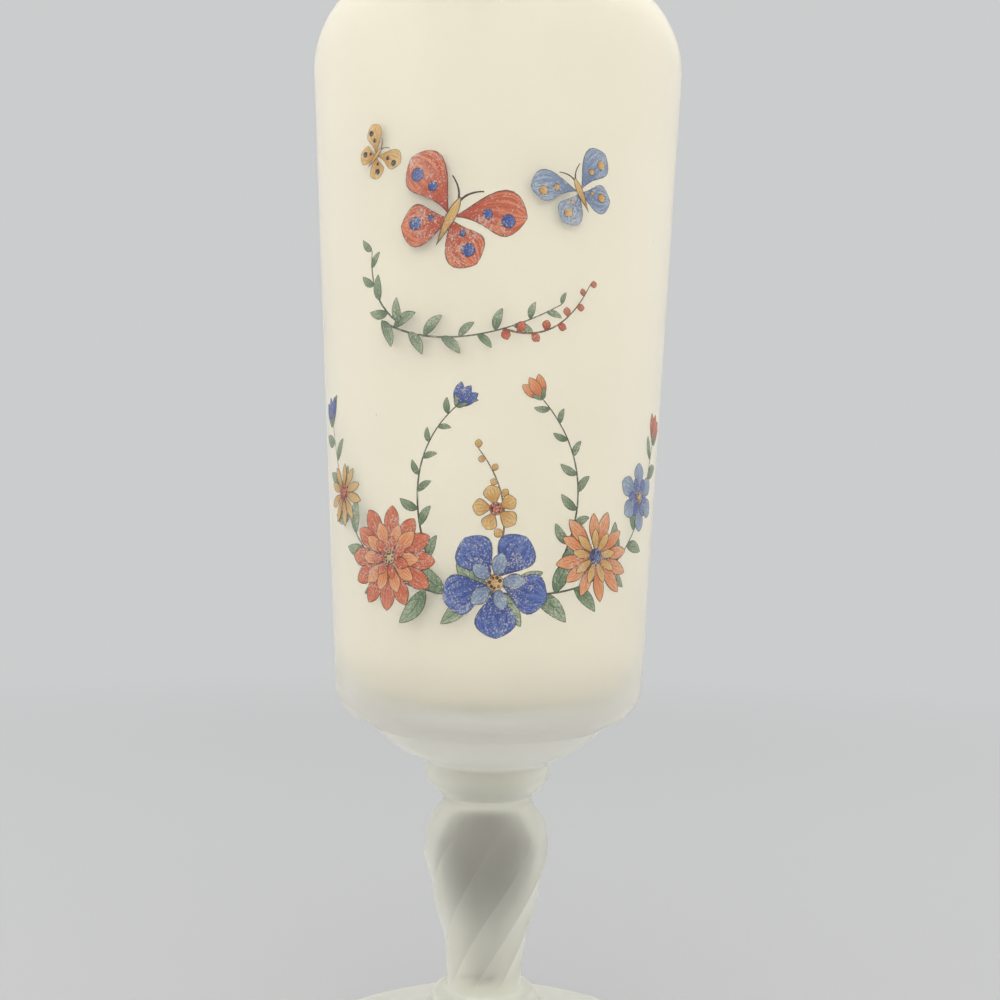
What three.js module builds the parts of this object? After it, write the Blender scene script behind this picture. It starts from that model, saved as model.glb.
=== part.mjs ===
// A footed art glass vase: a tapered satin body cased over an opal lining, joined by a stepped cup,
// a flared collar and a twisted stem to a round foot. All sizes are in millimetres, +Z is up, and the
// origin is at the centre of the ring that the foot stands on. The glass pieces are joined hot, so each
// one seats flat on the one below it, in the order in which they are stacked here.
import * as THREE from "three";

// Foot
const FOOT_RADIUS = 52;
const FOOT_EDGE = 3.2;
const FOOT_RISE = 8.8;
const FOOT_RING_WIDTH = 8;
const FOOT_RING_BEVEL = 0.9;
const FOOT_RECESS = 2;

// Hub, the two-tiered boss that the stem stands on
const HUB_RADIUS = 17;
const HUB_TOP_RADIUS = 13.1;
const HUB_LOWER_TIER = 4.3;
const HUB_UPPER_TIER = 5.1;
const HUB_FILLET = 1.4;
const HUB_ROUNDING = 2;

// Stem
const STEM_LENGTH = 45.4;
const STEM_FOOT_RADIUS = 9.2;
const STEM_BULGE_RADIUS = 15.65;
const STEM_BULGE_HEIGHT = 32.6;
const STEM_NECK_RADIUS = 11.2;
const TENON_RADIUS = 10.4;
const FLUTES = 9;
const FLUTE_DEPTH = 0.5;
const FLUTE_LEAN = THREE.MathUtils.degToRad(31);
const FLUTE_START = THREE.MathUtils.degToRad(-111);
const FLUTE_FADE_LOW = 5;
const FLUTE_FADE_HIGH = 20;

// Collar, the ring round the stem's tenon
const COLLAR_RADIUS = 15;
const COLLAR_SWELL = 1.9;
const COLLAR_HEIGHT = 8.7;

// Cup, the stepped gather that the body sits in
const CUP_RADIUS = 27.7;
const CUP_FOOT_RADIUS = 15.3;
const CUP_FOOT_HEIGHT = 0.9;
const CUP_WEB = 6.7;
const CUP_LIP = 0.4;

// Body, from its flat seat up to its mouth
const SEAT_RADIUS = 23;
const UNDERSIDE_PITCH = THREE.MathUtils.degToRad(27.5);
const HEEL_RADIUS = 38.35;
const HEEL_ROUNDING = 8.9;
const SIDE_HEIGHT = 154.6;
const SHOULDER_RADIUS = 47.2;
const SHOULDER_ROUNDING = 18;
const SHOULDER_PITCH = THREE.MathUtils.degToRad(12);
const NECK_RADIUS = 20.5;
const NECK_SWEEP = 14;
const MOUTH_LEAN = THREE.MathUtils.degToRad(55);
const LIP_REACH = 4.5;

// Glass in the body's wall: a clear casing, thicker at the heel, and the opal lining inside it
const CASING = 1.2;
const CASING_AT_HEEL = 2.2;
const BODY_FLOOR = 9.9;
const LINING_WALL = 1.3;
const LINING_ROUNDING = 14;

// Space left where one curved piece of glass lies inside another
const CLEARANCE = 0.3;

// How finely the round shapes are cut
const SEGMENTS = 40;
const ARC_STEPS = 5;
const STEM_RINGS = 22;
const POINTS_PER_FLUTE = 6;

const SATIN = { color: 0xcfd0c6, roughness: 0.5, opacity: 0.7 };
const CLEAR_SATIN = { color: 0xe6e6dd, roughness: 0.45, opacity: 0.5 };
const OPAL = { color: 0xf4eeda, roughness: 0.6, opacity: 1 };

// Heights of the seats, stacked from the table up
const hubSeat = FOOT_EDGE + FOOT_RISE;
const stemSeat = hubSeat + HUB_LOWER_TIER + HUB_UPPER_TIER + HUB_FILLET;
const collarSeat = stemSeat + STEM_LENGTH;
const cupSeat = collarSeat + COLLAR_HEIGHT;
const bodySeat = cupSeat + CUP_WEB;
const liningSeat = bodySeat + BODY_FLOOR;

// Rounds of the body's outline, each with its centre and its radius on the outside of the glass
const heel = { x: HEEL_RADIUS - HEEL_ROUNDING, radius: HEEL_ROUNDING };
heel.y = undersideAt(heel.x + heel.radius * Math.sin(UNDERSIDE_PITCH))
  + heel.radius * Math.cos(UNDERSIDE_PITCH);
const shoulder = {
  x: SHOULDER_RADIUS - SHOULDER_ROUNDING,
  y: heel.y + SIDE_HEIGHT,
  radius: SHOULDER_ROUNDING,
};
const neck = { x: NECK_RADIUS + NECK_SWEEP, radius: NECK_SWEEP };
neck.y = shoulder.y
  + (shoulder.radius + neck.radius - (neck.x - shoulder.x) * Math.sin(SHOULDER_PITCH))
  / Math.cos(SHOULDER_PITCH);

// The round at the lining's own heel, given like the others at the depth of the outside
const liningDepth = CASING + CLEARANCE;
const liningHeel = {
  x: HEEL_RADIUS - CASING_AT_HEEL - CLEARANCE - LINING_ROUNDING,
  y: liningSeat + LINING_ROUNDING,
  radius: LINING_ROUNDING + liningDepth,
};
const wholeWall = liningDepth + LINING_WALL;

/** Height of the body's sloping underside at a radius outside its flat seat. */
function undersideAt(radius) {
  return bodySeat + (radius - SEAT_RADIUS) * Math.tan(UNDERSIDE_PITCH);
}

/** The points of a path; a curve gives as many steps as the others, a straight line only its ends. */
function pointsOf(path) {
  const points = path.curves.flatMap((curve) => curve.getPoints(curve.isLineCurve ? 1 : ARC_STEPS));
  return points.filter((point, i) => i === 0 || point.distanceTo(points[i - 1]) > 1e-4);
}

/** A named piece of glass. */
function piece(name, geometry, { color, roughness, opacity }) {
  const material = new THREE.MeshStandardMaterial({
    color,
    roughness,
    metalness: 0,
    opacity,
    transparent: opacity < 1,
  });
  const mesh = new THREE.Mesh(geometry, material);
  mesh.name = name;
  return mesh;
}

/** A named piece turned about the vertical axis from points of radius and height. */
function turned(name, points, finish) {
  const geometry = new THREE.LatheGeometry(points, SEGMENTS);
  geometry.rotateX(Math.PI / 2);
  return piece(name, geometry, finish);
}

/** The round foot: a low sloping disc with a shallow recess inside the ring that it stands on. */
function footDisc() {
  const ringInside = FOOT_RADIUS - FOOT_RING_BEVEL - FOOT_RING_WIDTH;
  const path = new THREE.Path();
  path.moveTo(0, FOOT_RECESS);
  path.lineTo(ringInside - 2 * FOOT_RECESS, FOOT_RECESS);
  path.lineTo(ringInside, 0);
  path.lineTo(FOOT_RADIUS - FOOT_RING_BEVEL, 0);
  path.lineTo(FOOT_RADIUS, FOOT_RING_BEVEL);
  path.quadraticCurveTo(FOOT_RADIUS, FOOT_EDGE, FOOT_RADIUS - FOOT_EDGE, FOOT_EDGE);
  const middle = (FOOT_RADIUS + HUB_RADIUS) / 2;
  path.quadraticCurveTo(middle, FOOT_EDGE + FOOT_RISE / 5, HUB_RADIUS, hubSeat);
  path.lineTo(0, hubSeat);
  return turned("foot_disc", pointsOf(path), SATIN);
}

/** The hub: two round tiers, the upper one filleted to the foot of the stem. */
function footHub() {
  const step = hubSeat + HUB_LOWER_TIER;
  const top = step + HUB_UPPER_TIER;
  const path = new THREE.Path();
  path.moveTo(0, hubSeat);
  path.lineTo(HUB_RADIUS, hubSeat);
  path.lineTo(HUB_RADIUS, step - HUB_ROUNDING);
  path.quadraticCurveTo(HUB_RADIUS, step, HUB_RADIUS - HUB_ROUNDING, step);
  path.lineTo(HUB_TOP_RADIUS, step);
  path.lineTo(HUB_TOP_RADIUS, top - HUB_ROUNDING);
  path.quadraticCurveTo(HUB_TOP_RADIUS, top, HUB_TOP_RADIUS - HUB_ROUNDING, top);
  path.quadraticCurveTo(STEM_FOOT_RADIUS, top, STEM_FOOT_RADIUS, stemSeat);
  path.lineTo(0, stemSeat);
  return turned("foot_hub", pointsOf(path), SATIN);
}

/** The stem's side before it is fluted: a slim foot, a high bulge and a narrow neck. */
function stemSide() {
  const bulge = stemSeat + STEM_BULGE_HEIGHT;
  const above = STEM_LENGTH - STEM_BULGE_HEIGHT;
  const side = new THREE.CurvePath();
  side.add(new THREE.CubicBezierCurve(
    new THREE.Vector2(STEM_FOOT_RADIUS, stemSeat),
    new THREE.Vector2(STEM_FOOT_RADIUS, stemSeat + STEM_BULGE_HEIGHT * 0.4),
    new THREE.Vector2(STEM_BULGE_RADIUS, bulge - STEM_BULGE_HEIGHT * 0.18),
    new THREE.Vector2(STEM_BULGE_RADIUS, bulge),
  ));
  side.add(new THREE.CubicBezierCurve(
    new THREE.Vector2(STEM_BULGE_RADIUS, bulge),
    new THREE.Vector2(STEM_BULGE_RADIUS, bulge + above * 0.76),
    new THREE.Vector2(STEM_NECK_RADIUS, bulge + above * 0.8),
    new THREE.Vector2(STEM_NECK_RADIUS, collarSeat),
  ));
  return side;
}

/** The share of its full depth that a flute has at a height above the foot of the stem. */
function fluteShare(height) {
  return THREE.MathUtils.smoothstep(height, 0, FLUTE_FADE_LOW)
    * THREE.MathUtils.smoothstep(STEM_LENGTH - height, 0, FLUTE_FADE_HIGH);
}

/** The rings of the stem from its foot to the top of its tenon, each with its turn and its flutes. */
function stemRings() {
  const side = stemSide();
  const rings = [];
  let turn = FLUTE_START;
  let below = stemSeat;
  for (let i = 0; i <= STEM_RINGS; i += 1) {
    const { x: radius, y: height } = side.getPoint(i / STEM_RINGS);
    turn += (Math.tan(FLUTE_LEAN) / radius) * (height - below);
    below = height;
    const depth = (FLUTE_DEPTH * fluteShare(height - stemSeat) * radius) / STEM_BULGE_RADIUS;
    rings.push({ radius, height, turn, depth });
  }
  rings.push({ radius: TENON_RADIUS, height: collarSeat, turn, depth: 0 });
  rings.push({ radius: TENON_RADIUS, height: cupSeat, turn, depth: 0 });
  return rings;
}

/** The stem: a baluster of fluted rings skinned over, with a plain tenon on top. */
function twistedStem() {
  const rings = stemRings();
  const around = FLUTES * POINTS_PER_FLUTE;
  const positions = [0, 0, stemSeat];
  for (const { radius, height, turn, depth } of rings) {
    for (let i = 0; i < around; i += 1) {
      const angle = turn + (2 * Math.PI * i) / around;
      const across = (i % POINTS_PER_FLUTE) / POINTS_PER_FLUTE;
      const reach = radius - depth * 4 * across * (1 - across);
      positions.push(reach * Math.cos(angle), reach * Math.sin(angle), height);
    }
  }
  positions.push(0, 0, cupSeat);

  const faces = [];
  const top = positions.length / 3 - 1;
  for (let i = 0; i < around; i += 1) {
    const next = (i + 1) % around;
    faces.push(0, 1 + next, 1 + i);
    for (let ring = 0; ring < rings.length - 1; ring += 1) {
      const a = 1 + ring * around + i;
      const b = 1 + ring * around + next;
      faces.push(a, b, b + around, a, b + around, a + around);
    }
    faces.push(top, top - around + i, top - around + next);
  }

  const geometry = new THREE.BufferGeometry();
  geometry.setAttribute("position", new THREE.Float32BufferAttribute(positions, 3));
  geometry.setIndex(faces);
  geometry.computeVertexNormals();
  return piece("twisted_stem", geometry, SATIN);
}

/** The collar: a ring over the tenon that swells from the neck of the stem to the foot of the cup. */
function knopCollar() {
  const bore = TENON_RADIUS + CLEARANCE;
  const flare = COLLAR_RADIUS - STEM_NECK_RADIUS;
  const path = new THREE.Path();
  path.moveTo(bore, collarSeat);
  path.lineTo(STEM_NECK_RADIUS, collarSeat);
  path.lineTo(STEM_NECK_RADIUS, collarSeat + COLLAR_HEIGHT * 0.11);
  path.bezierCurveTo(
    STEM_NECK_RADIUS + flare * 0.7, collarSeat + COLLAR_HEIGHT * 0.4,
    COLLAR_RADIUS + COLLAR_SWELL, collarSeat + COLLAR_HEIGHT * 0.53,
    COLLAR_RADIUS, cupSeat,
  );
  path.lineTo(bore, cupSeat);
  path.closePath();
  return turned("knop_collar", pointsOf(path), SATIN);
}

/** The cup: a shallow bowl on a short foot, dished on top to take the underside of the body. */
function baseCup() {
  const slopeGap = CLEARANCE / Math.cos(UNDERSIDE_PITCH);
  const slopeStart = SEAT_RADIUS + CLEARANCE / Math.sin(UNDERSIDE_PITCH);
  const rim = undersideAt(CUP_RADIUS) - slopeGap;
  const bowl = cupSeat + CUP_FOOT_HEIGHT;
  const reach = CUP_RADIUS - CUP_FOOT_RADIUS;
  const rise = rim - CUP_LIP - bowl;
  const path = new THREE.Path();
  path.moveTo(0, cupSeat);
  path.lineTo(CUP_FOOT_RADIUS, cupSeat);
  path.lineTo(CUP_FOOT_RADIUS, bowl);
  path.quadraticCurveTo(CUP_FOOT_RADIUS + reach * 0.55, bowl + rise * 0.14, CUP_RADIUS, rim - CUP_LIP);
  path.lineTo(CUP_RADIUS, rim);
  path.lineTo(slopeStart, bodySeat);
  path.lineTo(0, bodySeat);
  return turned("base_cup", pointsOf(path), SATIN);
}

/** The angle below the level at which the straight side between two rounds faces outwards. */
function sideLean(lower, upper) {
  const across = upper.x - lower.x;
  const up = upper.y - lower.y;
  return Math.acos((lower.radius - upper.radius) / Math.hypot(across, up)) - Math.atan2(up, across);
}

/** Adds one skin of the body, set in by a depth: heel, side, shoulder and neck, from the bottom up. */
function addSkin(path, heelRound, heelStart, depth) {
  const lean = sideLean(heelRound, shoulder);
  const slope = Math.PI / 2 - SHOULDER_PITCH;
  path.absarc(heelRound.x, heelRound.y, heelRound.radius - depth, heelStart, -lean, false);
  path.absarc(shoulder.x, shoulder.y, shoulder.radius - depth, -lean, slope, false);
  path.absarc(neck.x, neck.y, neck.radius + depth, slope - Math.PI, -Math.PI - MOUTH_LEAN, true);
}

/** A point of the flared lip, at a depth in the wall and at a reach beyond the neck's round. */
function lipPoint(depth, reach) {
  const outwards = new THREE.Vector2(-Math.cos(MOUTH_LEAN), Math.sin(MOUTH_LEAN));
  const along = new THREE.Vector2(Math.sin(MOUTH_LEAN), Math.cos(MOUTH_LEAN));
  return new THREE.Vector2(neck.x, neck.y)
    .addScaledVector(outwards, neck.radius + depth)
    .addScaledVector(along, reach);
}

/** The points of the skin between the casing and the lining, at a depth, from its flat floor up. */
function innerSkin(floor, depth) {
  const drop = Math.min(1, (liningHeel.y - floor) / (liningHeel.radius - depth));
  const path = new THREE.Path();
  path.moveTo(0, floor);
  path.lineTo(liningHeel.x, floor);
  addSkin(path, liningHeel, -Math.asin(drop), depth);
  return pointsOf(path);
}

/** The body's casing: heavy in the floor, thin at the shoulder, with a round lip over the lining. */
function bodyShell() {
  const outside = new THREE.Path();
  outside.moveTo(0, bodySeat);
  outside.lineTo(SEAT_RADIUS, bodySeat);
  addSkin(outside, heel, UNDERSIDE_PITCH - Math.PI / 2, 0);
  const rimCentre = lipPoint(wholeWall / 2, LIP_REACH);
  outside.absarc(rimCentre.x, rimCentre.y, wholeWall / 2, -MOUTH_LEAN, Math.PI - MOUTH_LEAN, false);
  const ledge = [lipPoint(wholeWall, CLEARANCE), lipPoint(CASING, CLEARANCE)];
  const inside = innerSkin(liningSeat, CASING).reverse();
  return turned("body_shell", [...pointsOf(outside), ...ledge, ...inside], CLEAR_SATIN);
}

/** The opal lining: a thin white bag inside the casing, open at the neck. */
function opalLining() {
  const outside = innerSkin(liningSeat, liningDepth);
  const inside = innerSkin(liningSeat + LINING_WALL, wholeWall).reverse();
  return turned("opal_lining", [...outside, ...inside], OPAL);
}

const vase = new THREE.Group();
vase.name = "footed_vase";
vase.add(footDisc(), footHub(), twistedStem(), knopCollar(), baseCup(), bodyShell(), opalLining());

export default vase;
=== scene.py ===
"""A footed art glass vase, dressed for rendering: satin glass, an opal lining and fired enamel prints."""
import logging
import math
from dataclasses import dataclass, field
from enum import Enum
from functools import reduce
from typing import Any, Union

import bmesh
import bpy
import numpy as np
from mathutils import Matrix, Vector


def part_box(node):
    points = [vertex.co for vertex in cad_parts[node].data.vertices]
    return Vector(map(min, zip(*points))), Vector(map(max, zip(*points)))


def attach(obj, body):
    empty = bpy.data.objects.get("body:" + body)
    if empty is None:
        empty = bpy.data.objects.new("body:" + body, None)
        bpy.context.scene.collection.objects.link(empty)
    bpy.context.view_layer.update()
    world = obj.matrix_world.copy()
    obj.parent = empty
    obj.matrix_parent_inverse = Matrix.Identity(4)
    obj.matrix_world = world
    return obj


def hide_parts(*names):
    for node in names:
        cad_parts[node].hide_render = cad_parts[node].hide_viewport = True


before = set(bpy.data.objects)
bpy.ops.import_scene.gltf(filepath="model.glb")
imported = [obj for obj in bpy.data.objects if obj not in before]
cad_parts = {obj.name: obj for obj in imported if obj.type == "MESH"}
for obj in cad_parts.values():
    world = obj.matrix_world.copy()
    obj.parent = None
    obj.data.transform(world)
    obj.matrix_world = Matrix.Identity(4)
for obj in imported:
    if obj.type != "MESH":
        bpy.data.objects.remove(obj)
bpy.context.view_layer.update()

log = logging.getLogger("vase")

MM = 0.001
NIL = 1e-7  # Metres that count as none
BODY = "root"
PLAIN_IOR = 1.5
LEVEL = 0.5  # How far up a face has to look to count as level
LIFTS = 3  # Layers that the copies of a ring or a twig lie on in turn
ORIGIN = (0.0, 0.0, 0.0)
SHADER, GEOMETRY = "ShaderNodeTree", "GeometryNodeTree"
Mesh = bpy.types.Mesh
Material = bpy.types.Material
Tree = bpy.types.NodeTree
Socket = bpy.types.NodeSocket
Pair = tuple[float, float]
Colour = tuple[float, float, float]
Value = Union[float, tuple, Socket]


class Slot(Enum):
    """The record's material slots."""

    SATIN = "satin_glass"
    CASING = "casing_glass"
    OPAL = "opal_glass"


def rgba(colour: Value) -> Value:
    """A colour with an alpha of 1 added; a socket is passed on as it is."""
    return (*colour, 1.0) if isinstance(colour, tuple) and len(colour) == 3 else colour


def around(point: Vector) -> Pair:
    """The distance of a point from the vase's axis, and its height."""
    return math.hypot(point.x, point.y), point.z


def away(x: float, y: float, turn: float, reach: float) -> Pair:
    """The flat point at a distance from another, in a direction in degrees."""
    return x + reach * math.cos(math.radians(turn)), y + reach * math.sin(math.radians(turn))


class Nodes:
    """Short calls that add and link the nodes of one tree."""

    def __init__(self, tree: Tree) -> None:
        """Takes the tree that the nodes go into."""
        self.tree = tree

    def fill(self, node: bpy.types.Node, inputs: dict[str | int, Value]) -> None:
        """Fills inputs of a node.

        Args:
            node: The node.
            inputs: A value or a socket for each input, by its name or number.
        """
        for key, value in inputs.items():
            if isinstance(value, Socket):
                self.tree.links.new(value, node.inputs[key])
            else:
                node.inputs[key].default_value = value

    def add(self, kind: str, inputs: dict[str | int, Value] | None = None, **settings: Any) -> bpy.types.Node:
        """Adds a node.

        Args:
            kind: Blender's name for the type of node.
            inputs: A value or a socket for each input, by its name or number.
            settings: The node's own settings.

        Returns:
            The node.
        """
        made = self.tree.nodes.new(kind)
        for key, value in settings.items():
            setattr(made, key, value)
        self.fill(made, inputs or {})
        return made

    def math(self, operation: str, *values: Value, clamp: bool = False) -> Socket:
        """The result of a Math node on the values, which stays between 0 and 1 if clamped."""
        made = self.add("ShaderNodeMath", dict(enumerate(values)), operation=operation, use_clamp=clamp)
        return made.outputs[0]

    def times(self, *values: Value) -> Socket:
        """The product of two values or more."""
        return reduce(lambda product, value: self.math("MULTIPLY", product, value), values)

    def ramp(self, value: Value, low: Value, high: Value, start: float = 0.0, end: float = 1.0) -> Socket:
        """A smooth ramp, from start where the value is low or less to end where it is high or more."""
        inputs = dict(enumerate((value, low, high, start, end)))
        return self.add("ShaderNodeMapRange", inputs, interpolation_type="SMOOTHSTEP").outputs[0]

    def blend(self, share: Value, first: Value, second: Value, most: float = 1.0) -> Socket:
        """The first colour with a share of the second over it, which shows the most of it at 1."""
        inputs = {0: share if most == 1.0 else self.times(share, most), 6: rgba(first), 7: rgba(second)}
        return self.add("ShaderNodeMix", inputs, data_type="RGBA").outputs[2]

    def noise(self, place: Socket, scale: Value, detail: float = 2.0, roughness: float = 0.5) -> Socket:
        """A noise texture, by its waves in a metre, the number of its finer layers and their strength."""
        return self.add("ShaderNodeTexNoise", {"Vector": place, "Scale": scale, "Detail": detail,
                                               "Roughness": roughness}).outputs[0]

    def joined(self, x: Value = 0.0, y: Value = 0.0, z: Value = 0.0) -> Socket:
        """Joins three numbers to a vector."""
        return self.add("ShaderNodeCombineXYZ", {0: x, 1: y, 2: z}).outputs[0]

    def parts(self, vector: Socket) -> list[Socket]:
        """Splits a vector into its three numbers."""
        return list(self.add("ShaderNodeSeparateXYZ", {0: vector}).outputs)


class Group(Nodes):
    """A node group under construction, with named inputs and outputs."""

    KINDS: dict[type, str] = {type(None): "Geometry", int: "Int", float: "Float", tuple: "Vector"}

    def __init__(self, name: str, kind: str) -> None:
        """Makes an empty group of a kind, which is Blender's name for the type of tree."""
        super().__init__(bpy.data.node_groups.new(name, kind))
        self.entry = self.add("NodeGroupInput")
        self.exit = self.add("NodeGroupOutput")

    def takes(self, inputs: dict[str, Any]) -> list[Socket]:
        """Gives the group its inputs.

        Args:
            inputs: What each input is when nothing sets it, by its name, where None stands for geometry.

        Returns:
            The sockets inside the group.
        """
        for name, value in inputs.items():
            kind = "NodeSocket" + self.KINDS[type(value)]
            made = self.tree.interface.new_socket(name, in_out="INPUT", socket_type=kind)
            if value is not None:
                made.default_value = value
        return list(self.entry.outputs)[:len(inputs)]

    def gives(self, outputs: dict[str, Socket], kind: str = "Float") -> Tree:
        """Gives the group its outputs.

        Args:
            outputs: The socket inside the group that each output passes on, by its name.
            kind: The type of the outputs.

        Returns:
            The finished tree.
        """
        for name in outputs:
            self.tree.interface.new_socket(name, in_out="OUTPUT", socket_type="NodeSocket" + kind)
        self.fill(self.exit, outputs)
        return self.tree

    def position(self) -> list[Socket]:
        """The three coordinates of a point of the geometry."""
        return self.parts(self.add("GeometryNodeInputPosition").outputs[0])

    def spot(self, angle: Socket, reach: Value, height: Value) -> Socket:
        """A point, by its angle about the upright axis, its distance from it and its height."""
        x, y = (self.times(self.math(part, angle), reach) for part in ("COSINE", "SINE"))
        return self.joined(x, y, height)

    def draw(self, seed: Socket) -> tuple[Socket, Socket]:
        """The number of each copy, and a random value from -1 to 1 for it."""
        index = self.add("GeometryNodeInputIndex").outputs[0]
        drawn = self.add("FunctionNodeRandomValue", {2: -1.0, 3: 1.0, "ID": index, "Seed": seed})
        return index, drawn.outputs[1]

    def lift(self, index: Socket, step: Socket) -> Socket:
        """The height of a copy, which lies on one of a few layers in turn."""
        return self.times(self.math("MODULO", index, float(LIFTS)), step)

    def strew(self, points: Socket, shape: Socket, angle: Socket, size: Socket) -> Socket:
        """Sets a copy of a shape on each point, turned by an angle and scaled by a size."""
        return self.add("GeometryNodeInstanceOnPoints", {
            "Points": points, "Instance": shape, "Rotation": self.joined(z=angle), "Scale": size}).outputs[0]

    def close(self, name: str, shape: Socket, finish: Material) -> Tree:
        """Ends a geometry tree with real geometry in its material.

        Args:
            name: The output's name.
            shape: The geometry.
            finish: The material.

        Returns:
            The finished tree.
        """
        real = self.add("GeometryNodeRealizeInstances", {"Geometry": shape})
        dressed = self.add("GeometryNodeSetMaterial", {"Geometry": real.outputs[0], "Material": finish})
        return self.gives({name: dressed.outputs[0]}, "Geometry")


class Surface(Nodes):
    """A material under construction."""

    def __init__(self, name: str) -> None:
        """Starts a material under a name."""
        self.made = bpy.data.materials.new(name)
        self.made.use_nodes = True
        super().__init__(self.made.node_tree)
        self.shader = self.tree.nodes["Principled BSDF"]

    def place(self) -> Socket:
        """The coordinates of the object itself."""
        return self.add("ShaderNodeTexCoord").outputs["Object"]

    def group(self, tree: Tree, inputs: dict[str, Value]) -> Any:
        """The outputs of a node group that is placed with the given inputs."""
        return self.add("ShaderNodeGroup", inputs, node_tree=tree).outputs

    def attribute(self, name: str, output: str = "Fac") -> Socket:
        """An attribute of the mesh."""
        return self.add("ShaderNodeAttribute", attribute_name=name).outputs[output]

    def mottled(self, cloud: Socket, middle: float, play: float) -> Socket:
        """A value that a cloud between 0 and 1 moves by half the play to both sides of its middle."""
        return self.math("MULTIPLY_ADD", cloud, play, middle - play / 2)

    def bump(self, height: Socket, strength: float, distance: float) -> Socket:
        """The normal of a surface that is raised by a height."""
        inputs = {"Strength": strength, "Distance": distance, "Height": height}
        return self.add("ShaderNodeBump", inputs).outputs[0]

    def finish(self, inputs: dict[str, Value]) -> Material:
        """Fills the shader's inputs, by their names, and gives the material."""
        self.fill(self.shader, inputs)
        return self.made


class Profile:
    """A line of radius and height points that is turned about the vase's axis."""

    def __init__(self, radius: float, height: float) -> None:
        """Starts the line at a point."""
        self.points: list[Pair] = [(radius, height)]

    def line(self, radius: float, height: float, steps: int = 1) -> "Profile":
        """Goes straight to a point in a number of steps."""
        (r0, z0), ways = self.points[-1], np.arange(1, steps + 1) / steps
        self.points += [(r0 + (radius - r0) * t, z0 + (height - z0) * t) for t in ways]
        return self

    def bend(self, control: Pair, end: Pair, steps: int = 14) -> "Profile":
        """Goes to a point in a curve that one control point pulls."""
        return self.sweep(*[tuple(np.array(p) + (np.array(control) - p) * 2 / 3)
                            for p in (self.points[-1], end)], end, steps)

    def sweep(self, first: Pair, second: Pair, end: Pair, steps: int = 24) -> "Profile":
        """Goes to a point in a curve.

        Args:
            first: The control point that pulls the start.
            second: The one that pulls the end.
            end: Where the curve ends.
            steps: How many steps it has.

        Returns:
            The profile.
        """
        a, b, c, d = (np.array(p) for p in (self.points[-1], first, second, end))
        for t in np.arange(1, steps + 1) / steps:
            s = 1 - t
            self.points.append(tuple(a * s**3 + b * 3 * s * s * t + c * 3 * s * t * t + d * t**3))
        return self

    def arc(self, centre: Pair, radius: float, start: float, end: float, steps: int = 20) -> "Profile":
        """Goes to the start of an arc and round it.

        Args:
            centre: The arc's centre.
            radius: Its radius.
            start: The angle at which it starts, from the level, in radians.
            end: The angle at which it ends.
            steps: How many steps it has.

        Returns:
            The profile.
        """
        for angle in np.linspace(start, end, steps + 1):
            self.points.append((centre[0] + radius * math.cos(angle), centre[1] + radius * math.sin(angle)))
        return self

    def clean(self) -> np.ndarray:
        """The points as an array, without doubles."""
        kept = [self.points[0]]
        for point in self.points[1:]:
            if math.dist(point, kept[-1]) > NIL:
                kept.append(point)
        return np.array(kept)


def lathe(name: str, profile: Profile, columns: int = 256, ring: bool = False) -> Mesh:
    """Turns a profile about the vase's axis into a closed mesh.

    Args:
        name: The mesh's name.
        profile: The line, which runs so that the outside is on its right, with radius to the right.
        columns: How many steps the turn has.
        ring: Whether the line closes on itself, off the axis.

    Returns:
        The mesh, smooth but for its edges.
    """
    angles = np.linspace(0, 2 * math.pi, columns, endpoint=False)
    vertices: list[tuple] = []
    rings: list[list[int]] = []
    for radius, height in profile.clean():
        start = len(vertices)
        if radius < NIL:
            vertices.append((0.0, 0.0, height))
            rings.append([start] * columns)
        else:
            vertices += [(radius * math.cos(a), radius * math.sin(a), height) for a in angles]
            rings.append(list(range(start, start + columns)))
    faces = []
    for low, high in list(zip(rings, rings[1:])) + ([(rings[-1], rings[0])] if ring else []):
        for i in range(columns):
            k = (i + 1) % columns
            faces.append(tuple(dict.fromkeys((low[i], low[k], high[k], high[i]))))
    mesh = bpy.data.meshes.new(name)
    mesh.from_pydata(vertices, [], faces)
    smooth(mesh)
    return mesh


def smooth(mesh: Mesh, crease: float = 32.0) -> None:
    """Shades a mesh smooth, but for edges that turn by more than crease degrees."""
    mesh.shade_smooth()
    mesh.set_sharp_from_angle(angle=math.radians(crease))


def keep(mesh: Mesh, name: str, values: np.ndarray, kind: str = "FLOAT") -> None:
    """Keeps a value, or a colour, for each point of a mesh under an attribute's name."""
    layer = mesh.attributes.new(name, kind, "POINT")
    layer.data.foreach_set("value" if kind == "FLOAT" else "color", values.astype(np.float32))


def fuse(mesh: Mesh, seats: dict[float, float], slope: float = 0.99, play: float = 0.02 * MM) -> None:
    """Gives the faces where two pieces are melted together the mesh's second material.

    Args:
        mesh: The mesh.
        seats: The radius that each melted seat reaches to, by its height.
        slope: How level such a face is at least, 1 being quite level.
        play: How far its height may be off.
    """
    for face in mesh.polygons:
        radius, height = around(face.center)
        if abs(face.normal.z) > slope and any(
                abs(height - seat) < play and radius < reach for seat, reach in seats.items()):
            face.material_index = 1


def put(name: str, data: bpy.types.ID) -> bpy.types.Object:
    """Puts a mesh, a lamp or a camera into the scene under a name."""
    made = bpy.data.objects.new(name, data)
    bpy.context.scene.collection.objects.link(made)
    return made


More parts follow.
